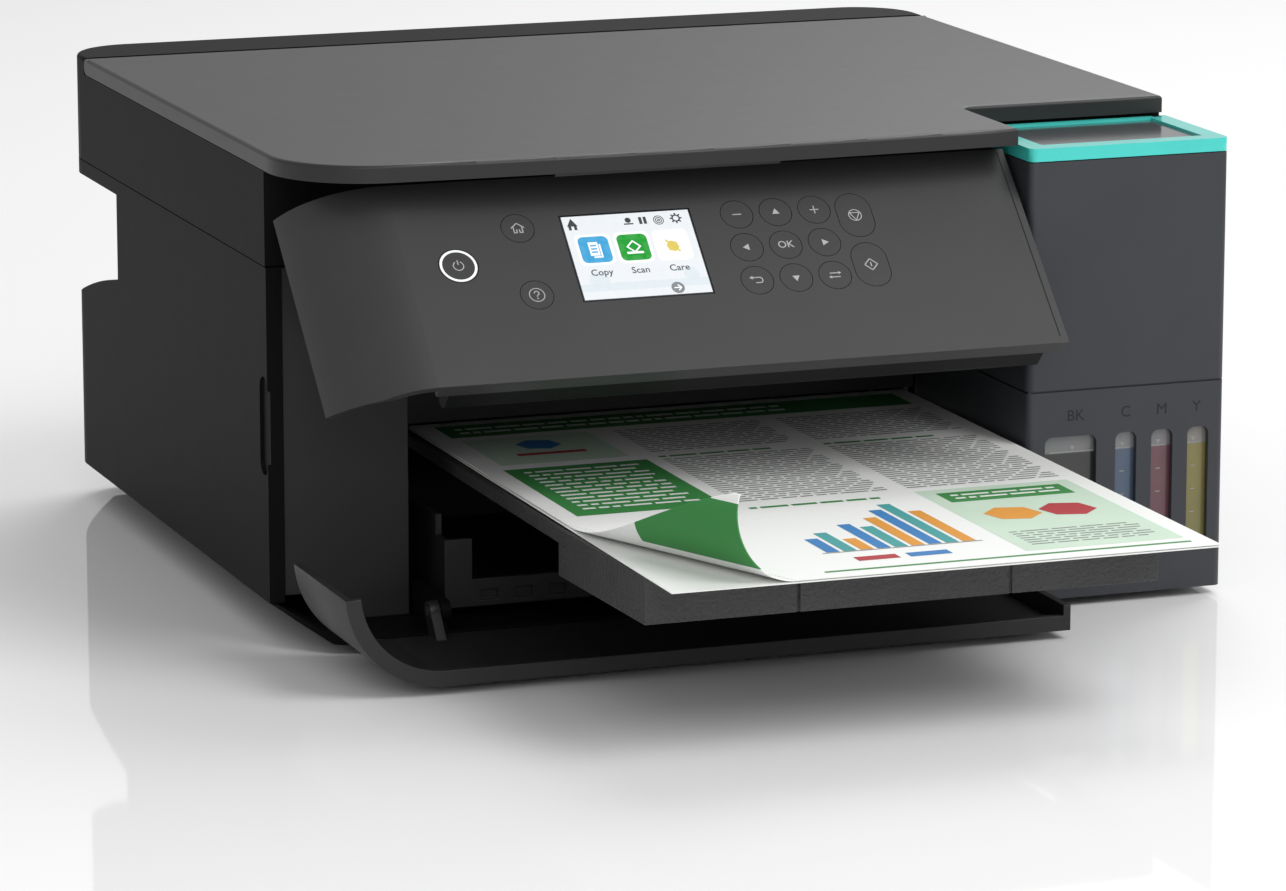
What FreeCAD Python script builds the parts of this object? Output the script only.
# Ink-tank all-in-one inkjet printer: printer below, flatbed scanner on top, ink tanks at the front right.
# Millimetres, +Z up, the front faces -Y.
# Pieces are laid out from the left side (x), the side covers' front edge (y) and the floor (z).
# At the end every piece moves so that the origin lies under the middle of the whole.
import FreeCAD
import Part
import math
import os

Vec = FreeCAD.Vector
ALONG_X = Vec(1, 0, 0)
ALONG_Y = Vec(0, 1, 0)
ALONG_Z = Vec(0, 0, 1)

# Clearances
SEAM_GAP = 0.4
EASE = 0.3
FIT = 0.05
TOUCH_ROOM = 1.0

# Case
CASE_WIDTH = 375.0
CASE_DEPTH = 294.0
SCANNER_HEIGHT = 43.6
LID_TOP = 189.0
WALL = 2.5
REAR_CORNER = 27.0
FRONT_CORNER = 38.0
FRONT_BULGE = 42.0
SIDE_BOTTOM = 16.0
SKIRT_IN = 18.0
PLATE_BOTTOM = 4.0
PLATE_THICK = 3.0
FOOT_RADIUS = 8.0
FOOT_INSET_X = 38.0
FOOT_INSET_Y = 22.0
COVER_RETURN = 6.0
GRIP_RADIUS = 5.0
GRIP_LENGTH = 38.0
GRIP_MIDDLE = 84.0
GRIP_DEEP = 1.2

# Hand recess in each rear corner
NOTCH_FRONT = 212.0
NOTCH_BROW = 6.0
NOTCH_SILL = 104.0
NOTCH_REAR = 80.0
NOTCH_CROWN = 3.0
NOTCH_IN = 46.0

# Front frame: left column, recess and paper exit
COLUMN_RIGHT = 56.0
COLUMN_FACE = 1.0
COLUMN_THICK = 3.0
RECESS_BACK = 64.0
EXIT_HEIGHT = 67.5

# Ink tank unit
TANK_LEFT = 291.1
TANK_FRONT = -48.5
TANK_BACK = RECESS_BACK
TANK_BOTTOM = 3.6
TANK_STEP = 13.2
TANK_WELL = 8.0
TANK_SEAM = 86.2
TANK_GROOVE = 0.8
TANK_CORNER = 3.0
WINDOW_LOW = 18.3
WINDOW_HIGH = 68.0
WINDOW_CORNER = 3.0
WINDOW_MARGIN = 4.8
TANK_WIDTHS = {"black": 31.4, "cyan": 15.0, "magenta": 15.2, "yellow": 15.0}
TANK_WALL = 1.5
TANK_HEIGHT = 104.0
TANK_DEPTH = 54.0
NECK_RADIUS = 5.0
CAP_RADIUS = 6.5
CAP_HEIGHT = 4.0
TANK_COVER_DROP = 7.4
TANK_COVER_THICK = 5.2
TANK_COVER_FRAME = 8.0
TANK_COVER_PLATE = 2.6
TANK_EAR_WIDTH = 3.0

# Scanner unit and lid
LID_THICK = 6.7
LID_GAP = 0.3
LID_REAR = 259.2
LID_BOW = 3.0
LID_NOTCH_BACK = 13.6
LID_NOTCH_CORNER = 4.5
LID_EDGE = 1.4
LIP_LEFT = 100.0
LIP_RIGHT = 190.0
LIP_THICK = 3.4
LIP_DROP = 1.1
LID_EAR_WIDTH = 8.0
LID_EAR_RADIUS = 2.3
LID_EAR_INSET = 90.0
LID_PIN_RADIUS = 1.2
LID_PIN_REACH = 6.0
GLASS_LEFT = 32.0
GLASS_FRONT = 26.0
GLASS_LENGTH = 304.0
GLASS_DEPTH = 222.0
GLASS_THICK = 2.8
GLASS_REST = 4.0
SCANNER_TOP_PLATE = 5.5
PAD_THICK = 2.8
SCAN_HINGE_RADIUS = 8.0
SCAN_EAR_INSET = 63.0
SCAN_EAR_WIDTH = 6.0
SCAN_PIN_RADIUS = 2.5
SCAN_PIN_REACH = 5.0
SCAN_BAR_WIDTH = 18.0
SCAN_BAR_HEIGHT = 15.0
SCAN_RAIL_WIDTH = 8.0
SCAN_RAIL_HEIGHT = 8.0

# Control panel, drawn closed and then tilted out about its hinge
PANEL_TILT = 45.7
PANEL_AXIS_Y = -29.0
PANEL_AXIS_DROP = 30.3
PANEL_HEIGHT = 98.0
PANEL_TOP_DROP = 8.5
PANEL_RIGHT = 288.5
PANEL_THICK = 2.5
PANEL_WING = 26.3
PANEL_RIM = 6.0
PANEL_TOP_SLOPE = 6.5
PANEL_BOTTOM_SLOPE = 8.5
HOUSING_LEFT = 46.0
HOUSING_RIGHT = 284.0
HOUSING_INSET_LOW = 5.5
HOUSING_INSET_HIGH = 8.5
HOUSING_DEPTH = 22.5
HOUSING_WALL = 2.0
HOUSING_EDGE = 4.0
PANEL_PIN_RADIUS = 2.5
PANEL_ARM_RADIUS = 6.0
PANEL_ARM_WIDTH = 4.0
PANEL_ARM_DROP = 27.4
BOARD_DEEP = 11.0
BOARD_THICK = 1.6
BOARD_MARGIN = 7.0
POST_RADIUS = 3.0
POST_INSET = 8.0
DISPLAY_LEFT = 102.4
DISPLAY_WIDTH = 51.6
DISPLAY_RISE = 33.5
DISPLAY_HEIGHT = 39.2
DISPLAY_RECESS = 0.1

# Keys: column and row pitches on the closed panel
KEY_RADIUS = 6.3
POWER_RADIUS = 7.5
OBLONG_WIDTH = 14.0
OBLONG_HEIGHT = 20.0
KEY_FLANGE = 1.0
KEY_FLANGE_THICK = 1.0
KEY_STEM = 2.5
KEY_TRAVEL = 0.6
KEY_CLEAR = 0.25
KEY_ROW_RISE = 53.2
KEY_ROW_PITCH = 15.3
KEY_COLUMN_LEFT = 172.4
KEY_COLUMN_PITCH = 15.7
OBLONG_ROW_PITCH = 23.1
HOME_COLUMN = 85.0
POWER_COLUMN = 58.1

# Front cover, drawn closed and then swung down about its hinge
COVER_AXIS_Y = -30.0
COVER_AXIS_Z = 15.5
COVER_BOTTOM = 17.0
COVER_TOP = 82.0
COVER_RIGHT = 289.0
COVER_THICK = 3.0
COVER_WING = 35.0
COVER_RIM = 6.0
COVER_RIM_DEEP = 3.0
COVER_END = 10.0
COVER_EAR_WIDTH = 4.0
COVER_EAR_RADIUS = 4.0
COVER_PIN_RADIUS = 2.0
COVER_OPEN = 90.0
COVER_ARM_LEFT = 57.3

# Output tray and printed sheets
TRAY_LEFT = 75.0
TRAY_RIGHT = 277.0
TRAY_FRONT = -200.0
TRAY_BLOCK = 83.0
TRAY_REAR = 100.0
TRAY_LOW = 47.0
TRAY_PLATE = 59.0
TRAY_PLATE_THICK = 2.5
TRAY_TOP = 64.4
TRAY_LIP_THICK = 3.0
TRAY_RIBS = 4
TRAY_RIB_WIDTH = 2.0
TRAY_STOP_LEFT = 136.0
TRAY_STOP_RIGHT = 218.0
TRAY_GROOVE = 0.8
TRAY_TAPER = 3.0
SHEET_WIDTH = 210.0
SHEET_LENGTH = 297.0
SHEET_LEFT = 77.7
SHEET_FRONT = -228.0
SHEET_THICK = 0.3
SHEET_SHIFT = 0.8
CURL_ALONG_SIDE = 110.0
CURL_ALONG_FRONT = 46.0
CURL_RADIUS = 17.0
CURL_STEPS = 8
CURL_LAP = 2.0

# Paper cassette
CASSETTE_LEFT = 66.0
CASSETTE_RIGHT = 281.0
CASSETTE_FRONT = -12.0
CASSETTE_LOW = 11.0
CASSETTE_HIGH = 46.0
CASSETTE_SILL = 22.0
CASSETTE_POST = 11.0
CASSETTE_POST_HIGH = 38.0
CASSETTE_SLOTS = 14
CASSETTE_SLOT_WIDTH = 7.0
CASSETTE_SLOT_HIGH = 4.0
GUIDE_THICK = 2.5
GUIDE_FRONT = 80.0
GUIDE_LENGTH = 60.0
GUIDE_HIGH = 38.0
GUIDE_FOOT = 15.0
RUNNER_WIDTH = 4.0
RUNNER_INSET = 9.0

# Print mechanism
FRAME_FRONT = 70.0
FRAME_REAR_ROOM = 32.0
FRAME_TOP_ROOM = 15.4
FRAME_THICK = 2.0
FRAME_CROSS = 196.0
FRAME_CROSS_LOW = 69.5
LEDGE_THICK = 2.5
LEDGE_LAP = 4.0
LEDGE_FRONT = 74.0
FEED_Y = 165.0
FEED_Z = 78.0
FEED_RADIUS = 8.0
EJECT_Y = 84.0
EJECT_Z = 77.0
EJECT_RADIUS = 4.0
SHAFT_RADIUS = 3.0
GEAR_LEFT = 20.0
GEAR_WIDE = 7.0
GEAR_MODULE = 1.5
FEED_TEETH = 40
IDLER_TEETH = 28
EJECT_TEETH = 20
PINION_TEETH = 12
PINION_RISE = 5.0
STUB_RADIUS = 3.0
MOTOR_RADIUS = 14.0
MOTOR_LENGTH = 28.0
MOTOR_SHAFT = 1.5
PLATEN_FRONT = 95.0
PLATEN_REAR = 150.0
PLATEN_LOW = 72.0
PLATEN_THICK = 4.0
PLATEN_RIBS = 9
PLATEN_RIB_HIGH = 2.0
CARRIAGE_WIDTH = 70.0
CARRIAGE_FRONT = 112.0
CARRIAGE_HOOK = 7.5
CARRIAGE_LOW = 82.0
CARRIAGE_HIGH = 124.0
CARRIAGE_PARK = 9.0
CARRIAGE_SHAFT_INSET = 8.0
CARRIAGE_SHAFT_Z = 104.0
CARRIAGE_SHAFT_RADIUS = 4.0
HEAD_STEP = 24.0
BELT_ROOM = 12.5
BELT_WIDE = 5.0
BELT_THICK = 1.2
PULLEY_RADIUS = 6.0
PULLEY_INSET = 17.0
PULLEY_Z = 110.0

# Boards, power and waste ink
MAINTENANCE_FRONT = 80.0
MAINTENANCE_REAR = 190.0
MAINTENANCE_HIGH = 50.0
SUPPLY_FRONT = 200.0
SUPPLY_REAR_ROOM = 2.0
SUPPLY_HIGH = 57.0
SUPPLY_LEFT = 298.0
SUPPLY_RIGHT = 354.0
INLET_WIDTH = 22.0
INLET_HIGH = 20.0
INLET_LOW = 25.0
SOCKET_WALL = 1.5
MAIN_BOARD_LOW = 70.0
MAIN_BOARD_TOP_ROOM = 13.4
MAIN_BOARD_THICK = 1.6
REAR_POST_DEEP = 8.0
REAR_POST_WIDTH = 12.0
REAR_POST_LEFT = 84.0
REAR_POST_RIGHT = 279.0
REAR_POST_TOP_ROOM = 20.4
USB_LEFT = 150.0
USB_WIDTH = 14.0
USB_LOW = 75.0
USB_HIGH = 12.0
SCREW_HEAD = 3.5
SCREW_SHANK = 1.5
SCREW_HEAD_DEEP = 1.2
SCREW_LENGTH = 6.0
SCREW_LOW = 30.0
SCREW_TOP_DROP = 10.0

# Derived places
CASE_SEAM = LID_TOP - SCANNER_HEIGHT
NOTCH_TOP = CASE_SEAM - NOTCH_BROW
TANK_COVER_TOP = LID_TOP - TANK_COVER_DROP
TANK_RIM = TANK_COVER_TOP - TANK_COVER_THICK - SEAM_GAP
TANK_DECK = TANK_RIM - TANK_WELL
PANEL_AXIS_Z = LID_TOP - PANEL_AXIS_DROP
PANEL_TOP = LID_TOP - PANEL_TOP_DROP
PANEL_BOTTOM = PANEL_TOP - PANEL_HEIGHT
PANEL_ARM_ROOT = CASE_SEAM - PANEL_ARM_DROP
HOUSING_LOW = PANEL_BOTTOM + HOUSING_INSET_LOW
HOUSING_HIGH = PANEL_TOP - HOUSING_INSET_HIGH
DISPLAY_LOW = PANEL_BOTTOM + DISPLAY_RISE
KEY_ROW_MIDDLE = PANEL_BOTTOM + KEY_ROW_RISE
FRAME_HIGH = CASE_SEAM - FRAME_TOP_ROOM
FRAME_REAR = CASE_DEPTH - FRAME_REAR_ROOM
REAR_POST_FRONT = CASE_DEPTH - REAR_POST_DEEP
REAR_POST_HIGH = CASE_SEAM - REAR_POST_TOP_ROOM
SCREW_TOP = REAR_POST_HIGH - SCREW_TOP_DROP
MAIN_BOARD_HIGH = CASE_SEAM - MAIN_BOARD_TOP_ROOM
SUPPLY_REAR = REAR_POST_FRONT - SUPPLY_REAR_ROOM
CASSETTE_REAR = REAR_POST_FRONT - TOUCH_ROOM
BELT_Y = FRAME_CROSS - BELT_ROOM
CARRIAGE_REAR = BELT_Y - CARRIAGE_HOOK
CARRIAGE_SHAFT_Y = CARRIAGE_REAR - CARRIAGE_SHAFT_INSET
PLATE_TOP = PLATE_BOTTOM + PLATE_THICK
PLATE_FRONT = COVER_AXIS_Y + TOUCH_ROOM
LID_BOTTOM = LID_TOP - LID_THICK
LID_AXIS_Y = LID_REAR - LID_THICK / 2
LID_AXIS_Z = LID_TOP - LID_THICK / 2
SCANNER_TOP = LID_BOTTOM - LID_GAP
SCAN_AXIS_Y = CASE_DEPTH - SCAN_HINGE_RADIUS
SCAN_AXIS_Z = CASE_SEAM + SEAM_GAP + SCAN_HINGE_RADIUS
SCANNER_BOTTOM = SCAN_AXIS_Z - SCAN_HINGE_RADIUS
SCANNER_FRONT = COLUMN_FACE
SCANNER_STEP = LID_NOTCH_BACK + WALL
FRONT_PLANE = -FRONT_BULGE
PANEL_BACK_PLANE = FRONT_PLANE + PANEL_THICK
TANK_RIGHT = CASE_WIDTH
TANK_COVER_AXIS_Y = TANK_STEP - TANK_COVER_THICK / 2 - SEAM_GAP
TANK_COVER_AXIS_Z = TANK_COVER_TOP - TANK_COVER_THICK / 2
FRAME_LEFT = COLUMN_RIGHT
FRAME_RIGHT = TANK_LEFT - EASE
FRAME_IN_LEFT = FRAME_LEFT + FRAME_THICK
FRAME_IN_RIGHT = FRAME_RIGHT - FRAME_THICK
GEAR_RIGHT = GEAR_LEFT + GEAR_WIDE
REAR_INSIDE = CASE_DEPTH - WALL
ORIGIN_X = CASE_WIDTH / 2
ORIGIN_Y = (CASE_DEPTH + SHEET_FRONT) / 2


def box(x0, x1, y0, y1, z0, z1):
    return Part.makeBox(x1 - x0, y1 - y0, z1 - z0, Vec(x0, y0, z0))


def rod_x(x0, x1, y, z, radius):
    return Part.makeCylinder(radius, x1 - x0, Vec(x0, y, z), ALONG_X)


def rod_y(y0, y1, x, z, radius):
    return Part.makeCylinder(radius, y1 - y0, Vec(x, y0, z), ALONG_Y)


def rod_z(z0, z1, x, y, radius):
    return Part.makeCylinder(radius, z1 - z0, Vec(x, y, z0), ALONG_Z)


# A flat outline swept square to its plane. A step is a point, or a (middle, end) pair for an arc.
def prism(plane, low, high, start, *steps):
    spots = {"xy": lambda a, b: Vec(a, b, low), "yz": lambda a, b: Vec(low, a, b), "xz": lambda a, b: Vec(a, low, b)}
    sweeps = {"xy": ALONG_Z, "yz": ALONG_X, "xz": ALONG_Y}
    spot = spots[plane]
    edges = []
    here = start
    for step in list(steps) + [start]:
        if isinstance(step[0], tuple):
            middle, end = step
            edges.append(Part.Arc(spot(*here), spot(*middle), spot(*end)).toShape())
        else:
            end = step
            edges.append(Part.LineSegment(spot(*here), spot(*end)).toShape())
        here = end
    return Part.Face(Part.Wire(edges)).extrude(sweeps[plane] * (high - low))


def join(shape, *others):
    return shape.fuse(list(others)).removeSplitter()


def less(shape, *tools):
    return shape.cut(list(tools))


# Rounds the edges that pass the test, by one radius.
def rounded(shape, radius, test):
    return shape.makeFillet(radius, [edge for edge in shape.Edges if test(edge)])


def runs_along(edge, axis):
    ends = [vertex.Point for vertex in edge.Vertexes]
    if len(ends) < 2:
        return False
    span = ends[1] - ends[0]
    return span.Length > 0 and abs(abs(span.dot(axis)) - span.Length) < 1e-6


def at_height(edge, z):
    return all(abs(vertex.Z - z) < 1e-6 for vertex in edge.Vertexes)


def middle_of(edge):
    return edge.BoundBox.Center


def tilted(shape):
    shape.rotate(Vec(0, PANEL_AXIS_Y, PANEL_AXIS_Z), ALONG_X, -PANEL_TILT)
    return shape


def swung_open(shape):
    shape.rotate(Vec(0, COVER_AXIS_Y, COVER_AXIS_Z), ALONG_X, COVER_OPEN)
    return shape


# The case's outline from above, drawn in by inset, with round rear corners.
def case_block(inset, front, low, high):
    left = inset
    right = CASE_WIDTH - inset
    back = CASE_DEPTH - inset
    corner = REAR_CORNER - inset
    knee = corner * math.sqrt(0.5)
    turn_y = CASE_DEPTH - REAR_CORNER
    turn_right = CASE_WIDTH - REAR_CORNER
    return prism(
        "xy", low, high, (left, front), (left, turn_y),
        ((REAR_CORNER - knee, turn_y + knee), (REAR_CORNER, back)), (turn_right, back),
        ((turn_right + knee, turn_y + knee), (right, turn_y)), (right, front))


# The hand recess in a rear corner, grown by its wall.
def notch(grow):
    span = CASE_DEPTH + WALL - NOTCH_FRONT
    crown = (NOTCH_FRONT + span / 2, (NOTCH_SILL + NOTCH_REAR) / 2 + NOTCH_CROWN - grow)
    return prism(
        "yz", -WALL, NOTCH_IN + grow, (NOTCH_FRONT - grow, NOTCH_TOP + grow), (NOTCH_FRONT - grow, NOTCH_SILL - grow),
        (crown, (NOTCH_FRONT + span, NOTCH_REAR - grow)), (NOTCH_FRONT + span, NOTCH_TOP + grow))


def mirrored(shape):
    return shape.mirror(Vec(CASE_WIDTH / 2, 0, 0), ALONG_X)


def case_shell():
    block = case_block(0, 0, SIDE_BOTTOM, CASE_SEAM)
    rise = less(
        case_block(0, SCAN_AXIS_Y, CASE_SEAM, SCAN_AXIS_Z),
        rod_x(-WALL, CASE_WIDTH + WALL, SCAN_AXIS_Y, SCAN_AXIS_Z, SCAN_HINGE_RADIUS + SEAM_GAP))
    block = join(block, rise)
    skin = less(block, case_block(WALL, -WALL, 0, LID_TOP))
    recess = notch(0)
    lining = less(notch(WALL), notch(0))
    walls = [lining.common(block), mirrored(lining).common(block)]
    return less(join(skin, *walls), recess, mirrored(recess))


def left_side_cover(shell):
    cover = shell.common(box(-WALL, NOTCH_IN + WALL, -WALL, CASE_DEPTH + WALL, 0, LID_TOP))
    cover = join(cover, box(0, COVER_RETURN, 0, WALL, SIDE_BOTTOM, CASE_SEAM))
    low = GRIP_MIDDLE - GRIP_LENGTH / 2 + GRIP_RADIUS
    high = GRIP_MIDDLE + GRIP_LENGTH / 2 - GRIP_RADIUS
    middle = GRIP_RADIUS
    grip = join(
        box(-WALL, GRIP_DEEP, middle - GRIP_RADIUS, middle + GRIP_RADIUS, low, high),
        rod_x(-WALL, GRIP_DEEP, middle, low, GRIP_RADIUS), rod_x(-WALL, GRIP_DEEP, middle, high, GRIP_RADIUS))
    return less(cover, grip)


def right_side_cover(shell):
    return shell.common(box(
        CASE_WIDTH - NOTCH_IN - WALL, CASE_WIDTH + WALL, TANK_BACK + SEAM_GAP, CASE_DEPTH + WALL, 0, LID_TOP))


def screw_places():
    columns = (REAR_POST_LEFT + REAR_POST_WIDTH / 2, REAR_POST_RIGHT + REAR_POST_WIDTH / 2)
    return [(x, z) for x in columns for z in (SCREW_LOW, SCREW_TOP)]


def rear_cover(shell):
    left = NOTCH_IN + WALL + SEAM_GAP
    cover = shell.common(box(
        left, CASE_WIDTH - left, REAR_INSIDE - WALL, CASE_DEPTH + WALL, 0, LID_TOP))
    ears = []
    for x in scanner_ear_places():
        ears.append(box(
            x, x + SCAN_EAR_WIDTH, SCAN_AXIS_Y - SCAN_PIN_RADIUS * 2, REAR_INSIDE, REAR_POST_HIGH + EASE, SCAN_AXIS_Z))
        ears.append(rod_x(x, x + SCAN_EAR_WIDTH, SCAN_AXIS_Y, SCAN_AXIS_Z, SCAN_PIN_RADIUS * 2))
    cover = join(cover, *ears)
    tools = [rod_x(left, CASE_WIDTH - left, SCAN_AXIS_Y, SCAN_AXIS_Z, SCAN_PIN_RADIUS)]
    for x, z in screw_places():
        tools.append(rod_y(CASE_DEPTH - SCREW_HEAD_DEEP, CASE_DEPTH + WALL, x, z, SCREW_HEAD))
        tools.append(rod_y(REAR_INSIDE - WALL, CASE_DEPTH, x, z, SCREW_SHANK))
    tools.append(box(
        USB_LEFT - EASE, USB_LEFT + USB_WIDTH + EASE, REAR_INSIDE - WALL, CASE_DEPTH + WALL,
        USB_LOW - EASE, USB_LOW + USB_HIGH + EASE))
    tools.append(box(
        SUPPLY_LEFT - EASE, SUPPLY_LEFT + INLET_WIDTH + EASE, REAR_INSIDE - WALL, CASE_DEPTH + WALL,
        INLET_LOW - EASE, INLET_LOW + INLET_HIGH + EASE))
    return less(cover, *tools)


def base_frame():
    rear = REAR_INSIDE - EASE
    right = CASE_WIDTH
    tub = prism(
        "xz", PLATE_FRONT, rear, (EASE, SIDE_BOTTOM), (SKIRT_IN, PLATE_BOTTOM), (right - SKIRT_IN, PLATE_BOTTOM),
        (right - EASE, SIDE_BOTTOM), (right - WALL - EASE, SIDE_BOTTOM), (right - SKIRT_IN - EASE, PLATE_TOP),
        (SKIRT_IN + EASE, PLATE_TOP), (WALL + EASE, SIDE_BOTTOM))
    upstand = box(0, right, rear - WALL, rear, PLATE_BOTTOM, SIDE_BOTTOM + WALL)
    upstand = upstand.common(box(NOTCH_IN, right - NOTCH_IN, 0, rear, 0, CASE_SEAM))
    front_knee = FRONT_CORNER * (1 - math.sqrt(0.5))
    corner = REAR_CORNER - WALL - EASE
    rear_knee = corner * (1 - math.sqrt(0.5))
    plan = prism(
        "xy", 0, CASE_SEAM, (0, PLATE_FRONT + FRONT_CORNER),
        ((front_knee, PLATE_FRONT + front_knee), (FRONT_CORNER, PLATE_FRONT)),
        (TANK_LEFT - SEAM_GAP, PLATE_FRONT), (TANK_LEFT - SEAM_GAP, TANK_BACK + SEAM_GAP),
        (right, TANK_BACK + SEAM_GAP), (right, rear - corner),
        ((right - rear_knee, rear - rear_knee), (right - corner, rear)), (corner, rear),
        ((rear_knee, rear - rear_knee), (0, rear - corner)))
    frame = join(tub, upstand).common(plan)
    runners = []
    for x in (CASSETTE_LEFT + RUNNER_INSET, CASSETTE_RIGHT - RUNNER_INSET - RUNNER_WIDTH):
        runners.append(box(x, x + RUNNER_WIDTH, 0, REAR_POST_FRONT, PLATE_TOP, CASSETTE_LOW - EASE))
    posts = [
        box(x, x + REAR_POST_WIDTH, REAR_POST_FRONT, rear, PLATE_TOP, REAR_POST_HIGH)
        for x in (REAR_POST_LEFT, REAR_POST_RIGHT)]
    arm_right = COVER_ARM_LEFT + COVER_EAR_WIDTH
    arm = join(
        box(COVER_ARM_LEFT, arm_right, PLATE_FRONT, WALL, PLATE_TOP, COVER_AXIS_Z + COVER_EAR_RADIUS),
        box(COVER_ARM_LEFT, arm_right, COVER_AXIS_Y, WALL,
            COVER_AXIS_Z - COVER_EAR_RADIUS, COVER_AXIS_Z + COVER_EAR_RADIUS),
        rod_x(COVER_ARM_LEFT, arm_right, COVER_AXIS_Y, COVER_AXIS_Z, COVER_EAR_RADIUS))
    frame = join(frame, arm, *runners, *posts)
    tools = [rod_x(COVER_ARM_LEFT, arm_right, COVER_AXIS_Y, COVER_AXIS_Z, COVER_PIN_RADIUS)]
    for x, z in screw_places():
        tools.append(rod_y(CASE_DEPTH - SCREW_HEAD_DEEP - SCREW_LENGTH, CASE_DEPTH, x, z, SCREW_SHANK))
    return less(frame, *tools)


def feet():
    places = [(x, y) for x in (FOOT_INSET_X, CASE_WIDTH - FOOT_INSET_X) for y in
              (TANK_BACK + FOOT_INSET_Y if x > TANK_LEFT else FOOT_INSET_Y, CASE_DEPTH - FOOT_INSET_Y)]
    shapes = [rod_z(0, PLATE_BOTTOM, x, y, FOOT_RADIUS) for x, y in places]
    tank_foot_x = (TANK_LEFT + TANK_RIGHT) / 2
    shapes.append(rod_z(0, TANK_BOTTOM, tank_foot_x, TANK_FRONT + FOOT_INSET_Y, FOOT_RADIUS))
    return Part.makeCompound(shapes)


def front_frame():
    top = CASE_SEAM - EASE
    left = COVER_RETURN + SEAM_GAP
    back = COLUMN_FACE + COLUMN_THICK
    column = join(
        box(left, COLUMN_RIGHT, COLUMN_FACE, back, SIDE_BOTTOM + WALL, top),
        box(SKIRT_IN + WALL * 2, COLUMN_RIGHT, COLUMN_FACE, back, PLATE_TOP, SIDE_BOTTOM + WALL))
    side = box(COLUMN_RIGHT - WALL, COLUMN_RIGHT, COLUMN_FACE, RECESS_BACK + COLUMN_THICK, PLATE_TOP, top)
    fascia = box(COLUMN_RIGHT - WALL, TANK_LEFT - SEAM_GAP, RECESS_BACK, RECESS_BACK + COLUMN_THICK, EXIT_HEIGHT, top)
    arm_left = HOUSING_LEFT - EASE - TOUCH_ROOM - PANEL_ARM_WIDTH
    arm_right = arm_left + PANEL_ARM_WIDTH
    arm = join(
        prism("yz", arm_left, arm_right, (COLUMN_FACE, PANEL_ARM_ROOT), (COLUMN_FACE, CASE_SEAM - WALL),
              (PANEL_AXIS_Y, PANEL_AXIS_Z + PANEL_ARM_RADIUS / 2), (PANEL_AXIS_Y, PANEL_AXIS_Z - PANEL_ARM_RADIUS)),
        rod_x(arm_left, arm_right, PANEL_AXIS_Y, PANEL_AXIS_Z, PANEL_ARM_RADIUS))
    frame = join(column, side, fascia, arm)
    return less(frame, rod_x(arm_left, arm_right, PANEL_AXIS_Y, PANEL_AXIS_Z, PANEL_PIN_RADIUS))


def tank_spans():
    spans = {}
    x = TANK_LEFT + WALL + EASE
    for colour, width in TANK_WIDTHS.items():
        spans[colour] = (x, x + width)
        x += width + EASE
    return spans


def window_margin(width):
    return min(WINDOW_MARGIN, width / 5)


def tank_housing():
    low_back = CASE_SEAM - EASE
    outside = join(
        box(TANK_LEFT, TANK_RIGHT, TANK_FRONT, TANK_BACK, TANK_BOTTOM, low_back),
        box(TANK_LEFT, TANK_RIGHT, TANK_FRONT, TANK_STEP, TANK_BOTTOM, TANK_RIM))
    outside = rounded(outside, TANK_CORNER, lambda edge: runs_along(edge, ALONG_Z) and abs(
        middle_of(edge).y - TANK_FRONT) < 1e-6)
    inside = box(
        TANK_LEFT + WALL, TANK_RIGHT - WALL, TANK_FRONT + WALL, TANK_BACK - WALL, TANK_BOTTOM + WALL, low_back - WALL)
    upper = box(
        TANK_LEFT + WALL, TANK_RIGHT - WALL, TANK_FRONT + WALL, TANK_STEP - WALL, low_back - WALL * 2, TANK_DECK)
    well = box(
        TANK_LEFT + WALL, TANK_RIGHT - WALL, TANK_FRONT + WALL, TANK_STEP - WALL, TANK_DECK + WALL, TANK_RIM + WALL)
    groove = less(
        box(TANK_LEFT - WALL, TANK_RIGHT + WALL, TANK_FRONT - WALL, TANK_BACK - WALL,
            TANK_SEAM - TANK_GROOVE / 2, TANK_SEAM + TANK_GROOVE / 2),
        box(TANK_LEFT + TANK_GROOVE, TANK_RIGHT - TANK_GROOVE, TANK_FRONT + TANK_GROOVE, TANK_BACK,
            TANK_SEAM - WALL, TANK_SEAM + WALL))
    housing = less(outside, inside, upper, well, groove)
    tools = []
    for x0, x1 in tank_spans().values():
        margin = window_margin(x1 - x0)
        window = box(x0 + margin, x1 - margin, TANK_FRONT - WALL, TANK_FRONT + WALL * 2, WINDOW_LOW, WINDOW_HIGH)
        tools.append(rounded(window, WINDOW_CORNER, lambda edge: runs_along(edge, ALONG_Y)))
        neck_x = (x0 + x1) / 2
        tools.append(rod_z(TANK_DECK - WALL, TANK_RIM, neck_x, tank_neck_y(), NECK_RADIUS + EASE))
    housing = less(housing, *tools)
    ears = []
    for x in tank_ear_places():
        ears.append(rod_x(x, x + TANK_EAR_WIDTH, TANK_COVER_AXIS_Y, TANK_COVER_AXIS_Z, tank_ear_radius()))
        ears.append(box(
            x, x + TANK_EAR_WIDTH, TANK_COVER_AXIS_Y - tank_ear_radius(), TANK_STEP - WALL / 2,
            TANK_DECK + WALL, TANK_COVER_AXIS_Z - tank_ear_radius() / 2))
    housing = join(housing, *ears)
    left_wall = [
        rod_x(TANK_LEFT - WALL, TANK_LEFT + WALL * 2, PANEL_AXIS_Y, PANEL_AXIS_Z, PANEL_PIN_RADIUS),
        rod_x(TANK_LEFT - WALL, TANK_LEFT + WALL * 2, COVER_AXIS_Y, COVER_AXIS_Z, COVER_PIN_RADIUS)]
    ear_bore = rod_x(TANK_LEFT, TANK_RIGHT, TANK_COVER_AXIS_Y, TANK_COVER_AXIS_Z, tank_pin_radius())
    return less(housing, ear_bore, *left_wall)


def tank_neck_y():
    return TANK_FRONT + WALL + EASE + TANK_DEPTH / 2


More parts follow.
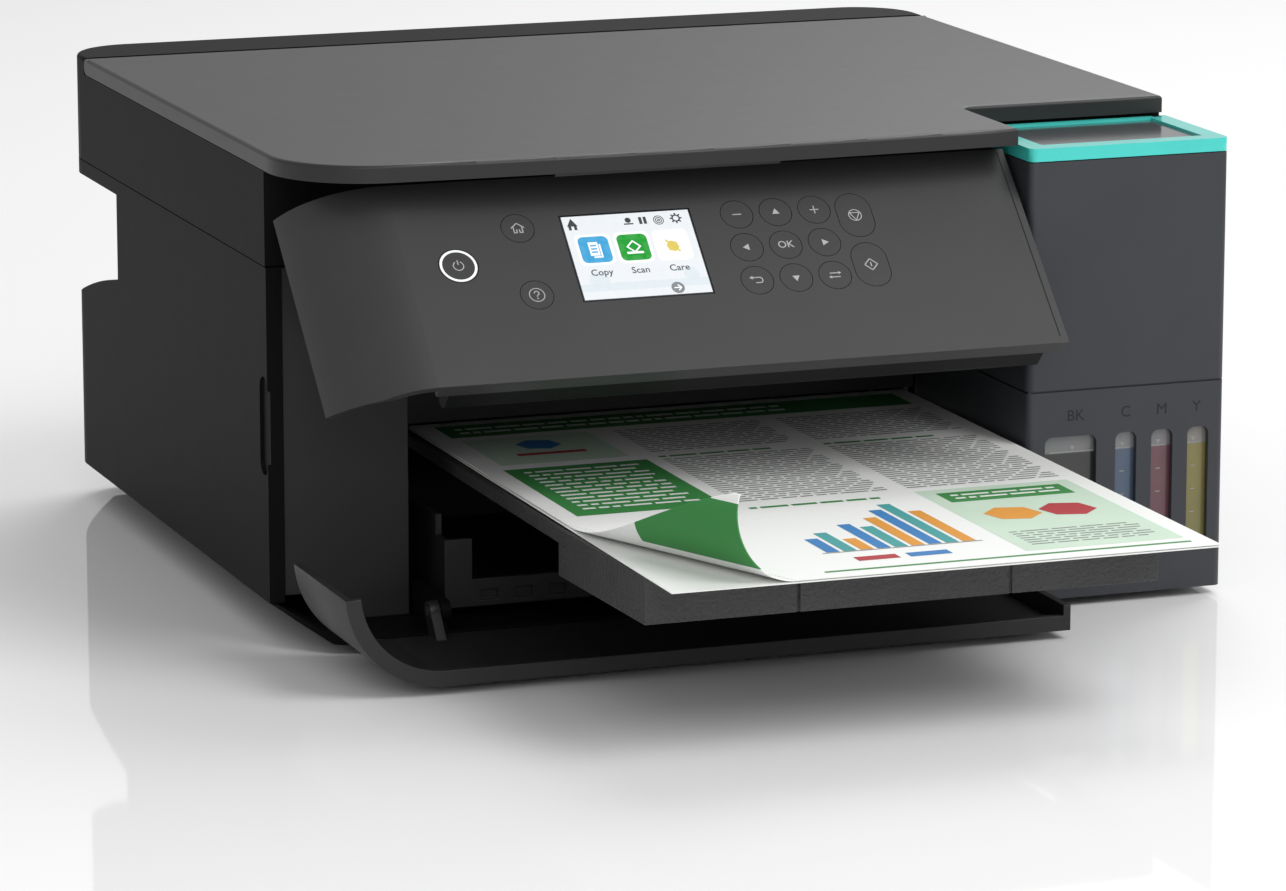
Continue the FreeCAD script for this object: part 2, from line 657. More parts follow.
def tank_ear_radius():
    return TANK_COVER_THICK / 2 - EASE


def tank_pin_radius():
    return tank_ear_radius() / 2


def tank_ear_places():
    return (TANK_LEFT + WALL + EASE, TANK_RIGHT - WALL - EASE - TANK_EAR_WIDTH)


def ink_tank(colour):
    x0, x1 = tank_spans()[colour]
    y0 = TANK_FRONT + WALL + EASE
    z0 = TANK_BOTTOM + WALL
    outside = box(x0, x1, y0, y0 + TANK_DEPTH, z0, z0 + TANK_HEIGHT)
    neck_x = (x0 + x1) / 2
    neck_top = TANK_DECK + WALL + CAP_HEIGHT / 4
    outside = join(outside, rod_z(z0 + TANK_HEIGHT, neck_top, neck_x, tank_neck_y(), NECK_RADIUS))
    hollow = box(
        x0 + TANK_WALL, x1 - TANK_WALL, y0 + TANK_WALL, y0 + TANK_DEPTH - TANK_WALL,
        z0 + TANK_WALL, z0 + TANK_HEIGHT - TANK_WALL)
    throat = rod_z(z0 + TANK_HEIGHT - TANK_WALL, neck_top, neck_x, tank_neck_y(), NECK_RADIUS - TANK_WALL)
    return less(outside, hollow, throat)


def tank_caps():
    shapes = []
    neck_top = TANK_DECK + WALL + CAP_HEIGHT / 4
    for x0, x1 in tank_spans().values():
        neck_x = (x0 + x1) / 2
        plug = rod_z(neck_top - CAP_HEIGHT, neck_top, neck_x, tank_neck_y(), NECK_RADIUS - TANK_WALL)
        shapes.append(join(plug, rod_z(neck_top, neck_top + CAP_HEIGHT, neck_x, tank_neck_y(), CAP_RADIUS)))
    return Part.makeCompound(shapes)


def tank_cover():
    low = TANK_COVER_TOP - TANK_COVER_THICK
    frame = box(TANK_LEFT, TANK_RIGHT, TANK_FRONT, TANK_COVER_AXIS_Y, low, TANK_COVER_TOP)
    frame = rounded(frame, TANK_CORNER, lambda edge: runs_along(edge, ALONG_Z) and abs(
        middle_of(edge).y - TANK_FRONT) < 1e-6)
    frame = join(frame, rod_x(TANK_LEFT, TANK_RIGHT, TANK_COVER_AXIS_Y, TANK_COVER_AXIS_Z, TANK_COVER_THICK / 2))
    x0, x1, y0, y1 = tank_plate_span()
    ledge = WALL
    window = box(x0 + ledge, x1 - ledge, y0 + ledge, y1 - ledge, low - WALL, TANK_COVER_TOP + WALL)
    seat = box(x0, x1, y0, y1, TANK_COVER_TOP - TANK_COVER_PLATE, TANK_COVER_TOP + WALL)
    tools = [window, seat]
    for x in tank_ear_places():
        tools.append(box(
            x - EASE, x + TANK_EAR_WIDTH + EASE, TANK_COVER_AXIS_Y - tank_ear_radius() - EASE, TANK_STEP + WALL,
            low - WALL, TANK_COVER_TOP + WALL))
        tools.append(rod_x(
            x - WALL, x + TANK_EAR_WIDTH + WALL, TANK_COVER_AXIS_Y, TANK_COVER_AXIS_Z, tank_pin_radius() + FIT))
    return less(frame, *tools)


def tank_plate_span():
    return (TANK_LEFT + TANK_COVER_FRAME, TANK_RIGHT - TANK_COVER_FRAME,
            TANK_FRONT + TANK_COVER_FRAME, TANK_COVER_AXIS_Y - TANK_COVER_FRAME / 2)


def tank_cover_plate():
    x0, x1, y0, y1 = tank_plate_span()
    recess = TANK_COVER_PLATE / 3
    return box(x0, x1, y0, y1, TANK_COVER_TOP - TANK_COVER_PLATE, TANK_COVER_TOP - recess)


# The scanner unit's outline from above, drawn in by inset, stepped back behind the tank unit.
def scanner_block(inset, back, low, high):
    corner = REAR_CORNER - inset
    knee = corner * math.sqrt(0.5)
    turn_y = CASE_DEPTH - REAR_CORNER
    step_x = TANK_LEFT - SEAM_GAP - inset
    step_y = SCANNER_STEP + inset
    block = prism(
        "xy", low, high, (inset, SCANNER_FRONT + inset), (inset, turn_y),
        ((REAR_CORNER - knee, turn_y + knee), (REAR_CORNER, CASE_DEPTH - inset)),
        (CASE_WIDTH - REAR_CORNER, CASE_DEPTH - inset),
        ((CASE_WIDTH - REAR_CORNER + knee, turn_y + knee), (CASE_WIDTH - inset, turn_y)),
        (CASE_WIDTH - inset, step_y), (step_x, step_y), (step_x, SCANNER_FRONT + inset))
    return block.common(box(0, CASE_WIDTH, -FRONT_BULGE, back, low, high))


def scanner_ear_places():
    return (SCAN_EAR_INSET, CASE_WIDTH - SCAN_EAR_INSET - SCAN_EAR_WIDTH)


def lid_ear_places():
    return (LID_EAR_INSET, CASE_WIDTH - LID_EAR_INSET - LID_EAR_WIDTH)


def glass_place():
    return (GLASS_LEFT, GLASS_LEFT + GLASS_LENGTH, GLASS_FRONT, GLASS_FRONT + GLASS_DEPTH)


def scanner_base():
    body = scanner_block(0, CASE_DEPTH, SCANNER_BOTTOM, SCANNER_TOP)
    strip = scanner_block(0, CASE_DEPTH, SCANNER_TOP, LID_TOP).common(
        box(0, CASE_WIDTH, LID_REAR + SEAM_GAP, CASE_DEPTH, SCANNER_TOP, LID_TOP))
    strip = rounded(strip, LID_EDGE, lambda edge: at_height(edge, LID_TOP) and not abs(
        middle_of(edge).y - LID_REAR - SEAM_GAP) < 1e-6)
    heel = less(
        box(-WALL, CASE_WIDTH + WALL, SCAN_AXIS_Y, CASE_DEPTH + WALL, SCANNER_BOTTOM - WALL, SCAN_AXIS_Z),
        rod_x(-WALL, CASE_WIDTH + WALL, SCAN_AXIS_Y, SCAN_AXIS_Z, SCAN_HINGE_RADIUS))
    hollow = scanner_block(
        WALL, SCAN_AXIS_Y - SCAN_HINGE_RADIUS, SCANNER_BOTTOM + WALL, SCANNER_TOP - SCANNER_TOP_PLATE)
    x0, x1, y0, y1 = glass_place()
    seat = box(x0 - EASE, x1 + EASE, y0 - EASE, y1 + EASE, SCANNER_TOP - GLASS_THICK - EASE, LID_TOP)
    light = box(
        x0 + GLASS_REST, x1 - GLASS_REST, y0 + GLASS_REST, y1 - GLASS_REST, SCANNER_BOTTOM + WALL * 2, LID_TOP)
    body = less(body, heel, hollow, seat, light)
    rail = box(
        WALL, CASE_WIDTH - WALL, scan_rail_y() - SCAN_RAIL_WIDTH / 2, scan_rail_y() + SCAN_RAIL_WIDTH / 2,
        SCANNER_BOTTOM, SCANNER_BOTTOM + WALL + SCAN_RAIL_HEIGHT)
    ears = []
    for x in lid_ear_places():
        ears.append(rod_x(x, x + LID_EAR_WIDTH, LID_AXIS_Y, LID_AXIS_Z, LID_EAR_RADIUS))
        ears.append(box(
            x, x + LID_EAR_WIDTH, LID_AXIS_Y - LID_EAR_RADIUS, LID_AXIS_Y + LID_EAR_RADIUS, SCANNER_TOP - WALL, LID_AXIS_Z))
        ears.append(rod_x(
            x - LID_PIN_REACH, x + LID_EAR_WIDTH + LID_PIN_REACH, LID_AXIS_Y, LID_AXIS_Z, LID_PIN_RADIUS))
    body = join(body, strip, rail, *ears)
    tools = []
    for x in scanner_ear_places():
        tools.append(box(
            x - EASE, x + SCAN_EAR_WIDTH + EASE, SCAN_AXIS_Y - SCAN_HINGE_RADIUS, CASE_DEPTH + WALL,
            SCANNER_BOTTOM - WALL, SCAN_AXIS_Z + SCAN_HINGE_RADIUS))
        tools.append(rod_x(
            x - SCAN_PIN_REACH - EASE, x + SCAN_EAR_WIDTH + SCAN_PIN_REACH + EASE,
            SCAN_AXIS_Y, SCAN_AXIS_Z, SCAN_PIN_RADIUS + FIT))
    return less(body, *tools)


def scanner_glass():
    x0, x1, y0, y1 = glass_place()
    return box(x0, x1, y0, y1, SCANNER_TOP - GLASS_THICK - EASE, SCANNER_TOP - EASE)


def scan_rail_y():
    return GLASS_FRONT + GLASS_DEPTH / 2


def scan_carriage():
    x0, x1, y0, y1 = glass_place()
    top = SCANNER_TOP - SCANNER_TOP_PLATE - EASE
    left = x0 + GLASS_REST
    bar = box(left, left + SCAN_BAR_WIDTH, y0 + GLASS_REST, y1 - GLASS_REST, top - SCAN_BAR_HEIGHT, top)
    rail_top = SCANNER_BOTTOM + WALL + SCAN_RAIL_HEIGHT
    half = SCAN_RAIL_WIDTH / 2
    shoe = box(
        left, left + SCAN_BAR_WIDTH, scan_rail_y() - half - WALL * 2, scan_rail_y() + half + WALL * 2,
        rail_top - SCAN_RAIL_HEIGHT / 2, top)
    groove = box(
        left - WALL, left + SCAN_BAR_WIDTH + WALL, scan_rail_y() - half - EASE, scan_rail_y() + half + EASE,
        SCANNER_BOTTOM, rail_top + EASE)
    return less(join(bar, shoe), groove)


def lid():
    knee = FRONT_CORNER * (1 - math.sqrt(0.5))
    right = TANK_LEFT - WALL
    side_turn = FRONT_PLANE + FRONT_CORNER
    slope = LID_NOTCH_CORNER * (1 - math.sqrt(0.5))
    plate = prism(
        "xy", LID_BOTTOM, LID_TOP, (0, LID_AXIS_Y), (0, side_turn),
        ((knee, FRONT_PLANE + knee), (FRONT_CORNER, FRONT_PLANE)),
        (((FRONT_CORNER + right) / 2, FRONT_PLANE - LID_BOW), (right, FRONT_PLANE)),
        (right, LID_NOTCH_BACK - LID_NOTCH_CORNER),
        ((right + slope, LID_NOTCH_BACK - slope), (right + LID_NOTCH_CORNER, LID_NOTCH_BACK)),
        (CASE_WIDTH, LID_NOTCH_BACK), (CASE_WIDTH, LID_AXIS_Y))
    plate = rounded(plate, LID_EDGE, lambda edge: at_height(edge, LID_TOP) and not abs(
        middle_of(edge).y - LID_AXIS_Y) < 1e-6)
    lip = box(LIP_LEFT, LIP_RIGHT, FRONT_PLANE - LID_BOW / 2, FRONT_PLANE + LIP_THICK, LID_BOTTOM - LIP_DROP, LID_BOTTOM)
    plate = join(plate, rod_x(0, CASE_WIDTH, LID_AXIS_Y, LID_AXIS_Z, LID_THICK / 2), lip)
    x0, x1, y0, y1 = glass_place()
    tools = [box(x0, x1, y0, y1, LID_BOTTOM - WALL, pad_top())]
    room = LID_EAR_RADIUS + SEAM_GAP
    for x in lid_ear_places():
        left = x - EASE
        far = x + LID_EAR_WIDTH + EASE
        tools.append(rod_x(left, far, LID_AXIS_Y, LID_AXIS_Z, room))
        tools.append(box(left, far, LID_AXIS_Y - room, LID_REAR + WALL, LID_BOTTOM - WALL, LID_AXIS_Z))
        tools.append(box(left, far, LID_AXIS_Y, LID_REAR + WALL, LID_AXIS_Z, LID_TOP + WALL))
        tools.append(rod_x(
            x - LID_PIN_REACH - EASE, x + LID_EAR_WIDTH + LID_PIN_REACH + EASE,
            LID_AXIS_Y, LID_AXIS_Z, LID_PIN_RADIUS + FIT))
    return less(plate, *tools)


def pad_top():
    return LID_BOTTOM + PAD_THICK - LID_GAP / 2


def lid_pad():
    x0, x1, y0, y1 = glass_place()
    return box(x0, x1, y0, y1, pad_top() - PAD_THICK, pad_top())


# A cover skin from above: flat front, then a wing that turns the front left corner to the given depth.
def skin_outline(thick, wing, right, low, high):
    middle_y = FRONT_PLANE + FRONT_CORNER
    turn = math.acos((FRONT_CORNER - wing) / FRONT_CORNER)
    inner = FRONT_CORNER - thick

    def on_arc(radius, angle):
        return (FRONT_CORNER - radius * math.sin(angle), middle_y - radius * math.cos(angle))

    return prism(
        "xy", low, high, (right, FRONT_PLANE), (FRONT_CORNER, FRONT_PLANE),
        (on_arc(FRONT_CORNER, turn / 2), on_arc(FRONT_CORNER, turn)), on_arc(inner, turn),
        (on_arc(inner, turn / 2), (FRONT_CORNER, FRONT_PLANE + thick)), (right, FRONT_PLANE + thick))


def key_places():
    low = KEY_ROW_MIDDLE - KEY_ROW_PITCH
    high = KEY_ROW_MIDDLE + KEY_ROW_PITCH
    columns = [KEY_COLUMN_LEFT + KEY_COLUMN_PITCH * i for i in range(4)]
    return {
        "power_key": (POWER_COLUMN, KEY_ROW_MIDDLE), "home_key": (HOME_COLUMN, high), "help_key": (HOME_COLUMN, low),
        "minus_key": (columns[0], high), "up_key": (columns[1], high), "plus_key": (columns[2], high),
        "left_key": (columns[0], KEY_ROW_MIDDLE), "ok_key": (columns[1], KEY_ROW_MIDDLE),
        "right_key": (columns[2], KEY_ROW_MIDDLE), "back_key": (columns[0], low), "down_key": (columns[1], low),
        "swap_key": (columns[2], low), "stop_key": (columns[3], KEY_ROW_MIDDLE + OBLONG_ROW_PITCH / 2),
        "start_key": (columns[3], KEY_ROW_MIDDLE - OBLONG_ROW_PITCH / 2)}


# A key's round or oblong body along Y, grown by a margin.
def key_body(name, y0, y1, grow):
    x, z = key_places()[name]
    if name in ("stop_key", "start_key"):
        radius = OBLONG_WIDTH / 2
        reach = OBLONG_HEIGHT / 2 - radius
        return join(
            box(x - radius - grow, x + radius + grow, y0, y1, z - reach, z + reach),
            rod_y(y0, y1, x, z - reach, radius + grow), rod_y(y0, y1, x, z + reach, radius + grow))
    radius = POWER_RADIUS if name == "power_key" else KEY_RADIUS
    return rod_y(y0, y1, x, z, radius + grow)


def key(name):
    x, z = key_places()[name]
    flange_front = PANEL_BACK_PLANE + EASE
    flange_back = flange_front + KEY_FLANGE_THICK
    stem_end = FRONT_PLANE + BOARD_DEEP - KEY_TRAVEL - EASE
    shape = join(
        key_body(name, FRONT_PLANE, flange_front, 0), key_body(name, flange_front, flange_back, KEY_FLANGE),
        rod_y(flange_back, stem_end, x, z, KEY_STEM))
    return tilted(shape)


def display_box(grow, y0, y1):
    return box(
        DISPLAY_LEFT - grow, DISPLAY_LEFT + DISPLAY_WIDTH + grow, y0, y1,
        DISPLAY_LOW - grow, DISPLAY_LOW + DISPLAY_HEIGHT + grow)


def control_panel_front():
    skin = skin_outline(PANEL_THICK, PANEL_WING, PANEL_RIGHT, PANEL_BOTTOM, PANEL_TOP)
    rims = [
        box(PANEL_RIGHT - PANEL_THICK, PANEL_RIGHT, FRONT_PLANE, FRONT_PLANE + PANEL_RIM, PANEL_BOTTOM, PANEL_TOP),
        box(FRONT_CORNER, PANEL_RIGHT, FRONT_PLANE, FRONT_PLANE + PANEL_RIM, PANEL_BOTTOM, PANEL_BOTTOM + PANEL_THICK)]
    skin = join(skin, *rims)
    wing_y = FRONT_PLANE + PANEL_WING
    trim = prism(
        "yz", -WALL, CASE_WIDTH, (FRONT_PLANE, PANEL_BOTTOM), (FRONT_PLANE + PANEL_RIM, PANEL_BOTTOM),
        (wing_y + WALL, PANEL_BOTTOM + PANEL_BOTTOM_SLOPE), (wing_y + WALL, PANEL_TOP),
        (FRONT_PLANE, PANEL_TOP - PANEL_TOP_SLOPE))
    skin = skin.common(trim)
    tools = [display_box(EASE, FRONT_PLANE - WALL, PANEL_BACK_PLANE + WALL)]
    for name in key_places():
        tools.append(key_body(name, FRONT_PLANE - WALL, PANEL_BACK_PLANE + WALL, KEY_CLEAR))
    return tilted(less(skin, *tools))


def control_panel_back():
    back = PANEL_BACK_PLANE + HOUSING_DEPTH
    shell = box(HOUSING_LEFT, HOUSING_RIGHT, PANEL_BACK_PLANE, back, HOUSING_LOW, HOUSING_HIGH)
    shell = rounded(shell, HOUSING_EDGE, lambda edge: abs(middle_of(edge).y - back) < 1e-6 and runs_along(
        edge, ALONG_X))
    hollow = box(
        HOUSING_LEFT + HOUSING_WALL, HOUSING_RIGHT - HOUSING_WALL, PANEL_BACK_PLANE - WALL, back - HOUSING_WALL,
        HOUSING_LOW + HOUSING_EDGE, HOUSING_HIGH - HOUSING_EDGE)
    shell = less(shell, hollow)
    board_back = FRONT_PLANE + BOARD_DEEP + BOARD_THICK
    left, right, low, high = board_span()
    posts = [
        rod_y(board_back, back - HOUSING_WALL, x, z, POST_RADIUS)
        for x in (left + POST_INSET, right - POST_INSET) for z in (low + POST_INSET, high - POST_INSET)]
    shell = join(shell, *posts)
    return tilted(less(shell, rod_x(
        HOUSING_LEFT - WALL, HOUSING_RIGHT + WALL, PANEL_AXIS_Y, PANEL_AXIS_Z, PANEL_PIN_RADIUS + FIT)))


def board_span():
    return (HOUSING_LEFT + BOARD_MARGIN, HOUSING_RIGHT - BOARD_MARGIN,
            HOUSING_LOW + HOUSING_EDGE + EASE, HOUSING_HIGH - HOUSING_EDGE - EASE)


def panel_board():
    left, right, low, high = board_span()
    front = FRONT_PLANE + BOARD_DEEP
    return tilted(box(left, right, front, front + BOARD_THICK, low, high))


def lcd_display():
    return tilted(display_box(0, FRONT_PLANE + DISPLAY_RECESS, FRONT_PLANE + BOARD_DEEP))


def front_cover():
    skin = skin_outline(COVER_THICK, COVER_WING, COVER_RIGHT, COVER_BOTTOM, COVER_TOP)
    rim = skin_outline(COVER_RIM, COVER_WING, COVER_RIGHT, COVER_TOP - COVER_RIM_DEEP, COVER_TOP)
    end = box(
        COVER_RIGHT - COVER_THICK, COVER_RIGHT, FRONT_PLANE, FRONT_PLANE + COVER_END, COVER_BOTTOM, COVER_TOP)
    ears = []
    for x in (cover_left_ear(), COVER_RIGHT - COVER_THICK - COVER_EAR_WIDTH):
        ears.append(rod_x(x, x + COVER_EAR_WIDTH, COVER_AXIS_Y, COVER_AXIS_Z, COVER_EAR_RADIUS))
        ears.append(prism(
            "yz", x, x + COVER_EAR_WIDTH, (COVER_AXIS_Y, COVER_AXIS_Z - COVER_EAR_RADIUS),
            (COVER_AXIS_Y, COVER_AXIS_Z + COVER_EAR_RADIUS), (FRONT_PLANE + COVER_THICK, COVER_BOTTOM + COVER_END),
            (FRONT_PLANE + COVER_THICK / 2, COVER_BOTTOM)))
    skin = join(skin, rim, end, *ears)
    bore = rod_x(cover_left_ear() - WALL, COVER_RIGHT, COVER_AXIS_Y, COVER_AXIS_Z, COVER_PIN_RADIUS + FIT)
    return swung_open(less(skin, bore))


def cover_left_ear():
    return COVER_ARM_LEFT - EASE - COVER_EAR_WIDTH


def hinge_pins():
    panel_arm_left = HOUSING_LEFT - EASE - TOUCH_ROOM - PANEL_ARM_WIDTH
    pins = [
        rod_x(panel_arm_left, HOUSING_LEFT + HOUSING_WALL + TOUCH_ROOM, PANEL_AXIS_Y, PANEL_AXIS_Z, PANEL_PIN_RADIUS),
        rod_x(HOUSING_RIGHT - HOUSING_WALL - TOUCH_ROOM, TANK_LEFT + WALL, PANEL_AXIS_Y, PANEL_AXIS_Z, PANEL_PIN_RADIUS),
        rod_x(cover_left_ear(), COVER_ARM_LEFT + COVER_EAR_WIDTH, COVER_AXIS_Y, COVER_AXIS_Z, COVER_PIN_RADIUS),
        rod_x(COVER_RIGHT - COVER_THICK - COVER_EAR_WIDTH, TANK_LEFT + WALL, COVER_AXIS_Y, COVER_AXIS_Z, COVER_PIN_RADIUS)]
    for x in scanner_ear_places():
        pins.append(rod_x(
            x - SCAN_PIN_REACH, x + SCAN_EAR_WIDTH + SCAN_PIN_REACH, SCAN_AXIS_Y, SCAN_AXIS_Z, SCAN_PIN_RADIUS))
    for x in tank_ear_places():
        pins.append(rod_x(
            x - WALL + EASE, x + TANK_EAR_WIDTH + WALL - EASE, TANK_COVER_AXIS_Y, TANK_COVER_AXIS_Z, tank_pin_radius()))
    return Part.makeCompound(pins)


def output_tray():
    block_back = TRAY_FRONT + TRAY_BLOCK
    plate = prism(
        "xy", TRAY_PLATE, TRAY_PLATE + TRAY_PLATE_THICK, (TRAY_LEFT + TRAY_TAPER, TRAY_FRONT), (TRAY_LEFT, block_back),
        (TRAY_LEFT, TRAY_REAR), (TRAY_RIGHT, TRAY_REAR), (TRAY_RIGHT, TRAY_FRONT))
    lip = box(
        TRAY_LEFT + TRAY_TAPER, TRAY_RIGHT, TRAY_FRONT, TRAY_FRONT + TRAY_LIP_THICK, TRAY_LOW, TRAY_TOP)
    left_wall = prism(
        "xy", TRAY_LOW, TRAY_TOP, (TRAY_LEFT + TRAY_TAPER, TRAY_FRONT), (TRAY_LEFT, block_back),
        (TRAY_LEFT + WALL, block_back), (TRAY_LEFT + TRAY_TAPER + WALL, TRAY_FRONT))
    right_wall = box(TRAY_RIGHT - WALL, TRAY_RIGHT, TRAY_FRONT, block_back, TRAY_LOW, TRAY_TOP)
    rails = [
        box(TRAY_LEFT, TRAY_LEFT + WALL, block_back, TRAY_REAR, TRAY_PLATE, TRAY_TOP),
        box(TRAY_RIGHT - WALL, TRAY_RIGHT, block_back, TRAY_REAR, TRAY_PLATE, TRAY_TOP)]
    step = (TRAY_RIGHT - TRAY_LEFT) / (TRAY_RIBS + 1)
    ribs = [
        box(TRAY_LEFT + step * i, TRAY_LEFT + step * i + TRAY_RIB_WIDTH, TRAY_FRONT, TRAY_REAR, TRAY_PLATE, TRAY_TOP)
        for i in range(1, TRAY_RIBS + 1)]
    tray = join(plate, lip, left_wall, right_wall, *rails, *ribs)
    grooves = [
        box(x, x + TRAY_GROOVE, TRAY_FRONT - WALL, TRAY_FRONT + TRAY_GROOVE, TRAY_LOW - WALL, TRAY_TOP + WALL)
        for x in (TRAY_STOP_LEFT, TRAY_STOP_RIGHT)]
    return less(tray, *grooves)


# The upper sheet's front left corner rolls up about a line between its left and front edges.
def curled_corner(left, front, low):
    side_end = Vec(left, front + CURL_ALONG_SIDE, low)
    front_end = Vec(left + CURL_ALONG_FRONT, front, low)
    fold = (front_end - side_end).normalize()
    outward = Vec(fold.y, -fold.x, 0)
    corner = Vec(left, front, low)
    reach = (corner - side_end).dot(outward)
    outward = outward * math.copysign(1, reach)
    reach = abs(reach)
    corner_along = (corner - side_end).dot(fold)
    fold_length = (front_end - side_end).Length

    def rolled(distance, along):
        turn = max(distance, 0) / CURL_RADIUS
        flat = min(distance, 0) + CURL_RADIUS * math.sin(turn)
        return side_end + fold * along + outward * flat + ALONG_Z * (CURL_RADIUS * (1 - math.cos(turn)))

    sides = []
    for start in (0, fold_length):
        points = []
        for step in range(CURL_STEPS + 1):
            distance = -CURL_LAP + (reach * 0.97 + CURL_LAP) * step / CURL_STEPS
            share = distance / reach
            points.append(rolled(distance, start + (corner_along - start) * share))
        curve = Part.BSplineCurve()
        curve.interpolate(points)
        sides.append(curve.toShape())
    patch = Part.makeRuledSurface(sides[0], sides[1])
    lean = reach / CURL_RADIUS / 2
    thicken = (ALONG_Z * math.cos(lean) - outward * math.sin(lean)) * SHEET_THICK * 2
    return patch.extrude(thicken)


def printed_sheets():
    low = TRAY_TOP + EASE
    lower = box(
        SHEET_LEFT, SHEET_LEFT + SHEET_WIDTH, SHEET_FRONT, SHEET_FRONT + SHEET_LENGTH, low, low + SHEET_THICK)
    left = SHEET_LEFT + SHEET_SHIFT
    front = SHEET_FRONT + SHEET_SHIFT
    upper_low = low + SHEET_THICK * 2
    upper = prism(
        "xy", upper_low, upper_low + SHEET_THICK, (left, front + CURL_ALONG_SIDE), (left, front + SHEET_LENGTH),
        (left + SHEET_WIDTH, front + SHEET_LENGTH), (left + SHEET_WIDTH, front), (left + CURL_ALONG_FRONT, front))
    return Part.makeCompound([lower, join(upper, curled_corner(left, front, upper_low))])


def paper_cassette():
    outside = box(
        CASSETTE_LEFT, CASSETTE_RIGHT, CASSETTE_FRONT, CASSETTE_REAR, CASSETTE_LOW, CASSETTE_HIGH)
    inside = box(
        CASSETTE_LEFT + WALL, CASSETTE_RIGHT - WALL, CASSETTE_FRONT + WALL, CASSETTE_REAR - WALL,
        CASSETTE_LOW + WALL, CASSETTE_HIGH + WALL)
    sill = box(
        CASSETTE_LEFT + CASSETTE_POST, CASSETTE_RIGHT - CASSETTE_POST, CASSETTE_FRONT - WALL,
        CASSETTE_FRONT + WALL * 2, CASSETTE_SILL, CASSETTE_HIGH + WALL)
    brow = box(
        CASSETTE_LEFT - WALL, CASSETTE_RIGHT + WALL, CASSETTE_FRONT - WALL, CASSETTE_FRONT + CASSETTE_POST,
        CASSETTE_POST_HIGH, CASSETTE_HIGH + WALL)
    tray = less(outside, inside, sill, brow)
    slot_low = CASSETTE_LOW + WALL
    step = (CASSETTE_RIGHT - CASSETTE_LEFT - CASSETTE_POST * 2) / CASSETTE_SLOTS
    gap = (step - CASSETTE_SLOT_WIDTH) / 2
    slots = []
    for i in range(CASSETTE_SLOTS):
        x = CASSETTE_LEFT + CASSETTE_POST + step * i + gap
        slots.append(box(
            x, x + CASSETTE_SLOT_WIDTH, CASSETTE_FRONT - WALL, CASSETTE_FRONT + WALL / 2,
            slot_low, slot_low + CASSETTE_SLOT_HIGH))
    return less(tray, *slots)


def edge_guide_left():
    low = CASSETTE_LOW + WALL + EASE
    left = CASSETTE_LEFT + WALL + TOUCH_ROOM
    return join(
        box(left, left + GUIDE_THICK, GUIDE_FRONT, GUIDE_FRONT + GUIDE_LENGTH, low, GUIDE_HIGH),
        box(left, left + GUIDE_FOOT, GUIDE_FRONT, GUIDE_FRONT + GUIDE_LENGTH, low, low + GUIDE_THICK / 2))


def edge_guide_right():
    return edge_guide_left().mirror(Vec((CASSETTE_LEFT + CASSETTE_RIGHT) / 2, 0, 0), ALONG_X)


def gear_radius(teeth):
    return GEAR_MODULE * teeth / 2


# Spots along the train: the idler meets both rollers' gears, the pinion sits behind and above the feed gear.
def idler_centre():
    to_feed = gear_radius(FEED_TEETH) + gear_radius(IDLER_TEETH)
    to_eject = gear_radius(EJECT_TEETH) + gear_radius(IDLER_TEETH)
    across = Vec(0, EJECT_Y - FEED_Y, EJECT_Z - FEED_Z)
    span = across.Length
    along = (to_feed ** 2 - to_eject ** 2 + span ** 2) / (2 * span)
    rise = math.sqrt(to_feed ** 2 - along ** 2)
    across.normalize()
    upward = Vec(0, across.z, -across.y)
    return Vec(0, FEED_Y, FEED_Z) + across * along + upward * rise


def pinion_centre():
    span = gear_radius(FEED_TEETH) + gear_radius(PINION_TEETH)
    lean = math.radians(PINION_RISE)
    return Vec(0, FEED_Y + span * math.cos(lean), FEED_Z + span * math.sin(lean))


# The angle of one tooth of the second gear so that it meets the first gear's teeth.
def meshed(centre, teeth, tooth_angle, other_centre, other_teeth):
    towards = math.atan2(other_centre.z - centre.z, other_centre.y - centre.y)
    slip = (tooth_angle - towards) * teeth / other_teeth
    return towards + math.pi - slip + math.pi / other_teeth


def gear(centre, teeth, tooth_angle):
    pitch = 2 * math.pi / teeth
    root = gear_radius(teeth) - 1.25 * GEAR_MODULE
    tip = gear_radius(teeth) + 0.85 * GEAR_MODULE
    shape = ((root, -0.30), (tip, -0.12), (tip, 0.12), (root, 0.30))
    points = []
    for tooth in range(teeth):
        for radius, share in shape:
            angle = tooth_angle + (tooth + share) * pitch
            points.append((centre.y + radius * math.cos(angle), centre.z + radius * math.sin(angle)))
    return prism("yz", GEAR_LEFT, GEAR_RIGHT, *points)


def feed_centre():
    return Vec(0, FEED_Y, FEED_Z)


def eject_centre():
    return Vec(0, EJECT_Y, EJECT_Z)


def idler_angle():
    return meshed(feed_centre(), FEED_TEETH, 0, idler_centre(), IDLER_TEETH)


def roller(y, z, radius, drum_gap, toothed):
    shaft = rod_x(GEAR_LEFT, FRAME_RIGHT, y, z, SHAFT_RADIUS)
    drum = rod_x(FRAME_IN_LEFT + drum_gap, FRAME_IN_RIGHT - drum_gap, y, z, radius)
    return join(shaft, drum, toothed)


def feed_roller():
    return roller(FEED_Y, FEED_Z, FEED_RADIUS, WALL, gear(feed_centre(), FEED_TEETH, 0))


def eject_roller():
    angle = meshed(idler_centre(), IDLER_TEETH, idler_angle(), eject_centre(), EJECT_TEETH)
    return roller(EJECT_Y, EJECT_Z, EJECT_RADIUS, WALL, gear(eject_centre(), EJECT_TEETH, angle))


def idler_gear():
    centre = idler_centre()
    toothed = gear(centre, IDLER_TEETH, idler_angle())
    return less(toothed, rod_x(GEAR_LEFT - WALL, GEAR_RIGHT + WALL, centre.y, centre.z, STUB_RADIUS + FIT))


